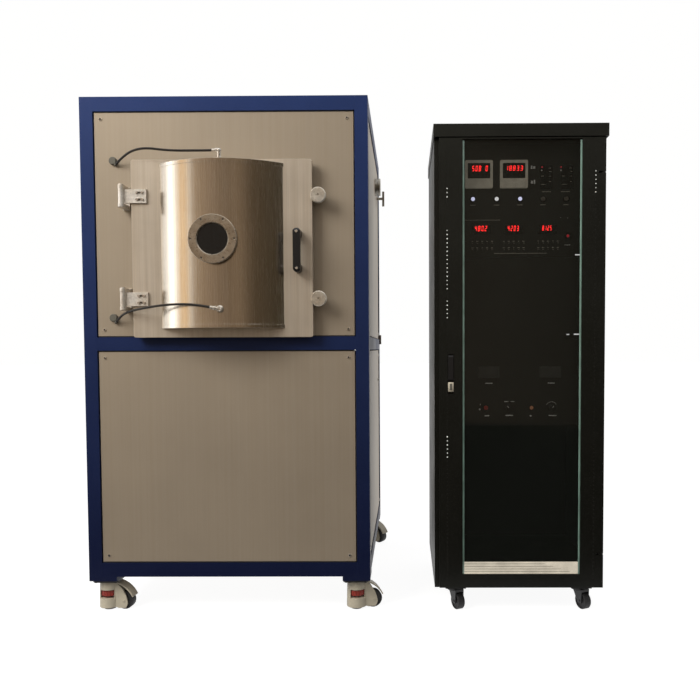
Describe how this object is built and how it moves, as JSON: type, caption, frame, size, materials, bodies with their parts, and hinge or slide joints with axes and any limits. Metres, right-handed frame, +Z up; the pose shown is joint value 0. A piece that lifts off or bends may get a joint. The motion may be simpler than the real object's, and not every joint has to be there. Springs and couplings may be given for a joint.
{
  "type": "hot filament chemical vapor deposition system",
  "caption": "Deposition cabinet with a bulged, round-windowed chamber door, hoses and levelling casters, beside a glass-door rack of gauges, meters, buttons and power controls.",
  "frame": {"origin": "floor level, under the middle of the whole system's bounding box, hoses left out", "axes": "+X to the right along both fronts, +Y from the fronts to the backs, +Z up"},
  "size_m": [1.833, 1.139, 1.811],
  "materials": {
    "frame_paint": "satin navy blue paint",
    "panel_steel": "fine brushed stainless sheet, warm reflection",
    "stainless": "brushed stainless steel",
    "polished_steel": "polished",
    "machined_aluminium": "turned, matt",
    "copper_parts": "bare copper",
    "black_plastic": "moulded, slight sheen",
    "black_steel": "fine textured black powder coat",
    "black_rubber": "smooth rubber",
    "grey_plastic": "moulded",
    "cream_casting": "cream enamelled casting",
    "red_plastic": "moulded",
    "window_glass": "clear",
    "dark_screen": "glossy",
    "beige_plastic": "moulded",
    "zinc_steel": "zinc plated"
  },
  "bodies": {
    "cabinets": {"cabinet_frame": "frame_paint", "front_panels": "panel_steel", "cabinet_skins": "panel_steel", "panel_screws": "polished_steel", "chamber_body": "stainless", "door_seal": "black_rubber", "hinge_brackets": "stainless", "hose_glands": "grey_plastic", "filament_assembly": "copper_parts", "substrate_stage": "stainless", "side_fittings": "stainless", "upper_hose": "black_rubber", "lower_hose": "black_rubber", "caster_plates": "black_steel", "rack_frame": "black_steel", "rack_panels": "black_steel", "instrument_panels": "black_steel", "gauge_units": "beige_plastic", "panel_displays": "dark_screen"},
    "chamber_door": {"door_plate": "stainless", "door_drum": "stainless", "viewport_ring": "stainless", "viewport_glass": "window_glass", "door_handle": "black_plastic", "hinge_arms": "stainless", "door_screws": "polished_steel", "hose_fittings": "polished_steel"},
    "lock_knob_lower": {"lock_knob_lower": "machined_aluminium"},
    "lock_knob_upper": {"lock_knob_upper": "machined_aluminium"},
    "front_left_caster": {"front_left_housing": "cream_casting"},
    "front_left_wheel": {"front_left_wheel": "black_rubber"},
    "front_left_foot": {"front_left_leveller": "red_plastic"},
    "front_right_caster": {"front_right_housing": "cream_casting"},
    "front_right_wheel": {"front_right_wheel": "black_rubber"},
    "front_right_foot": {"front_right_leveller": "red_plastic"},
    "rear_left_caster": {"rear_left_housing": "cream_casting"},
    "rear_left_wheel": {"rear_left_wheel": "black_rubber"},
    "rear_left_foot": {"rear_left_leveller": "red_plastic"},
    "rear_right_caster": {"rear_right_housing": "cream_casting"},
    "rear_right_wheel": {"rear_right_wheel": "black_rubber"},
    "rear_right_foot": {"rear_right_leveller": "red_plastic"},
    "rack_door": {"rack_door_frame": "black_steel", "rack_door_glass": "window_glass"},
    "rack_lock_lever": {"rack_lock_lever": "black_plastic"},
    "push_button_1": {"push_button_1": "grey_plastic"},
    "push_button_2": {"push_button_2": "grey_plastic"},
    "push_button_3": {"push_button_3": "grey_plastic"},
    "push_button_4": {"push_button_4": "grey_plastic"},
    "push_button_5": {"push_button_5": "grey_plastic"},
    "red_button": {"red_button": "red_plastic"},
    "selector_knob": {"selector_knob": "black_plastic"},
    "power_knob": {"power_knob": "black_plastic"},
    "rack_front_left_caster": {"rack_front_left_fork": "zinc_steel"},
    "rack_front_left_wheel": {"rack_front_left_wheel": "black_rubber"},
    "rack_front_right_caster": {"rack_front_right_fork": "zinc_steel"},
    "rack_front_right_wheel": {"rack_front_right_wheel": "black_rubber"},
    "rack_rear_left_caster": {"rack_rear_left_fork": "zinc_steel"},
    "rack_rear_left_wheel": {"rack_rear_left_wheel": "black_rubber"},
    "rack_rear_right_caster": {"rack_rear_right_fork": "zinc_steel"},
    "rack_rear_right_wheel": {"rack_rear_right_wheel": "black_rubber"}
  },
  "joints": [
    {"name": "chamber_door_hinge", "type": "hinge", "parent": "cabinets", "child": "chamber_door", "pos_m": [-0.7565, -0.481, 1.2815], "axis": [0, 0, -1], "range_deg": [0, 110], "deforming": ["upper_hose", "lower_hose"]},
    {"name": "lock_knob_lower_turn", "type": "hinge", "parent": "chamber_door", "child": "lock_knob_lower", "pos_m": [-0.0845, -0.469, 1.109], "axis": [0, -1, 0], "continuous": true},
    {"name": "lock_knob_upper_turn", "type": "hinge", "parent": "chamber_door", "child": "lock_knob_upper", "pos_m": [-0.0845, -0.469, 1.46], "axis": [0, -1, 0], "continuous": true},
    {"name": "front_left_swivel", "type": "hinge", "parent": "cabinets", "child": "front_left_caster", "pos_m": [-0.8645, -0.379, 0.105], "axis": [0, 0, 1], "continuous": true},
    {"name": "front_left_roll", "type": "hinge", "parent": "front_left_caster", "child": "front_left_wheel", "pos_m": [-0.80465, -0.38318, 0.0315], "axis": [0.0698, 0.9976, 0], "continuous": true},
    {"name": "front_left_level", "type": "slide", "parent": "front_left_caster", "child": "front_left_foot", "axis": [0, 0, 1], "range_m": [-0.008, 0.0015]},
    {"name": "front_right_swivel", "type": "hinge", "parent": "cabinets", "child": "front_right_caster", "pos_m": [0.0315, -0.379, 0.105], "axis": [0, 0, 1], "continuous": true},
    {"name": "front_right_roll", "type": "hinge", "parent": "front_right_caster", "child": "front_right_wheel", "pos_m": [0.08972, -0.36449, 0.0315], "axis": [-0.2419, 0.9703, 0], "continuous": true},
    {"name": "front_right_level", "type": "slide", "parent": "front_right_caster", "child": "front_right_foot", "axis": [0, 0, 1], "range_m": [-0.008, 0.0015]},
    {"name": "rear_left_swivel", "type": "hinge", "parent": "cabinets", "child": "rear_left_caster", "pos_m": [-0.8645, 0.517, 0.105], "axis": [0, 0, 1], "continuous": true},
    {"name": "rear_left_roll", "type": "hinge", "parent": "rear_left_caster", "child": "rear_left_wheel", "pos_m": [-0.80812, 0.49648, 0.0315], "axis": [0.342, 0.9397, 0], "continuous": true},
    {"name": "rear_left_level", "type": "slide", "parent": "rear_left_caster", "child": "rear_left_foot", "axis": [0, 0, 1], "range_m": [-0.008, 0.0015]},
    {"name": "rear_right_swivel", "type": "hinge", "parent": "cabinets", "child": "rear_right_caster", "pos_m": [0.0315, 0.517, 0.105], "axis": [0, 0, 1], "continuous": true},
    {"name": "rear_right_roll", "type": "hinge", "parent": "rear_right_caster", "child": "rear_right_wheel", "pos_m": [0.08238, 0.4852, 0.0315], "axis": [0.5299, 0.848, 0], "continuous": true},
    {"name": "rear_right_level", "type": "slide", "parent": "rear_right_caster", "child": "rear_right_foot", "axis": [0, 0, 1], "range_m": [-0.008, 0.0015]},
    {"name": "rack_door_hinge", "type": "hinge", "parent": "cabinets", "child": "rack_door", "pos_m": [0.8995, -0.423, 0.8555], "axis": [0, 0, 1], "range_deg": [0, 120]},
    {"name": "rack_lock_lift", "type": "hinge", "parent": "rack_door", "child": "rack_lock_lever", "pos_m": [0.37, -0.4285, 0.828], "axis": [1, 0, 0], "range_deg": [0, 38]},
    {"name": "push_button_1_press", "type": "slide", "parent": "cabinets", "child": "push_button_1", "axis": [0, 1, 0], "range_m": [0, 0.003], "stiffness_N_per_m": 250, "springref_m": -0.002},
    {"name": "push_button_2_press", "type": "slide", "parent": "cabinets", "child": "push_button_2", "axis": [0, 1, 0], "range_m": [0, 0.003], "stiffness_N_per_m": 250, "springref_m": -0.002},
    {"name": "push_button_3_press", "type": "slide", "parent": "cabinets", "child": "push_button_3", "axis": [0, 1, 0], "range_m": [0, 0.003], "stiffness_N_per_m": 250, "springref_m": -0.002},
    {"name": "push_button_4_press", "type": "slide", "parent": "cabinets", "child": "push_button_4", "axis": [0, 1, 0], "range_m": [0, 0.003], "stiffness_N_per_m": 250, "springref_m": -0.002},
    {"name": "push_button_5_press", "type": "slide", "parent": "cabinets", "child": "push_button_5", "axis": [0, 1, 0], "range_m": [0, 0.003], "stiffness_N_per_m": 250, "springref_m": -0.002},
    {"name": "red_button_press", "type": "slide", "parent": "cabinets", "child": "red_button", "axis": [0, 1, 0], "range_m": [0, 0.003], "stiffness_N_per_m": 250, "springref_m": -0.002},
    {"name": "selector_knob_turn", "type": "hinge", "parent": "cabinets", "child": "selector_knob", "pos_m": [0.5805, -0.369, 0.723], "axis": [0, -1, 0], "range_deg": [0, 90]},
    {"name": "power_knob_turn", "type": "hinge", "parent": "cabinets", "child": "power_knob", "pos_m": [0.7355, -0.369, 0.723], "axis": [0, -1, 0], "range_deg": [-135, 135]},
    {"name": "rack_front_left_swivel", "type": "hinge", "parent": "cabinets", "child": "rack_front_left_caster", "pos_m": [0.3885, -0.376, 0.076], "axis": [0, 0, 1], "continuous": true},
    {"name": "rack_front_left_roll", "type": "hinge", "parent": "rack_front_left_caster", "child": "rack_front_left_wheel", "pos_m": [0.39695, -0.39413, 0.03], "axis": [0.9063, 0.4226, 0], "continuous": true},
    {"name": "rack_front_right_swivel", "type": "hinge", "parent": "cabinets", "child": "rack_front_right_caster", "pos_m": [0.8385, -0.376, 0.076], "axis": [0, 0, 1], "continuous": true},
    {"name": "rack_front_right_roll", "type": "hinge", "parent": "rack_front_right_caster", "child": "rack_front_right_wheel", "pos_m": [0.84695, -0.39413, 0.03], "axis": [0.9063, 0.4226, 0], "continuous": true},
    {"name": "rack_rear_left_swivel", "type": "hinge", "parent": "cabinets", "child": "rack_rear_left_caster", "pos_m": [0.3885, 0.114, 0.076], "axis": [0, 0, 1], "continuous": true},
    {"name": "rack_rear_left_roll", "type": "hinge", "parent": "rack_rear_left_caster", "child": "rack_rear_left_wheel", "pos_m": [0.39695, 0.09587, 0.03], "axis": [0.9063, 0.4226, 0], "continuous": true},
    {"name": "rack_rear_right_swivel", "type": "hinge", "parent": "cabinets", "child": "rack_rear_right_caster", "pos_m": [0.8385, 0.114, 0.076], "axis": [0, 0, 1], "continuous": true},
    {"name": "rack_rear_right_roll", "type": "hinge", "parent": "rack_rear_right_caster", "child": "rack_rear_right_wheel", "pos_m": [0.84695, 0.09587, 0.03], "axis": [0.9063, 0.4226, 0], "continuous": true}
  ]
}
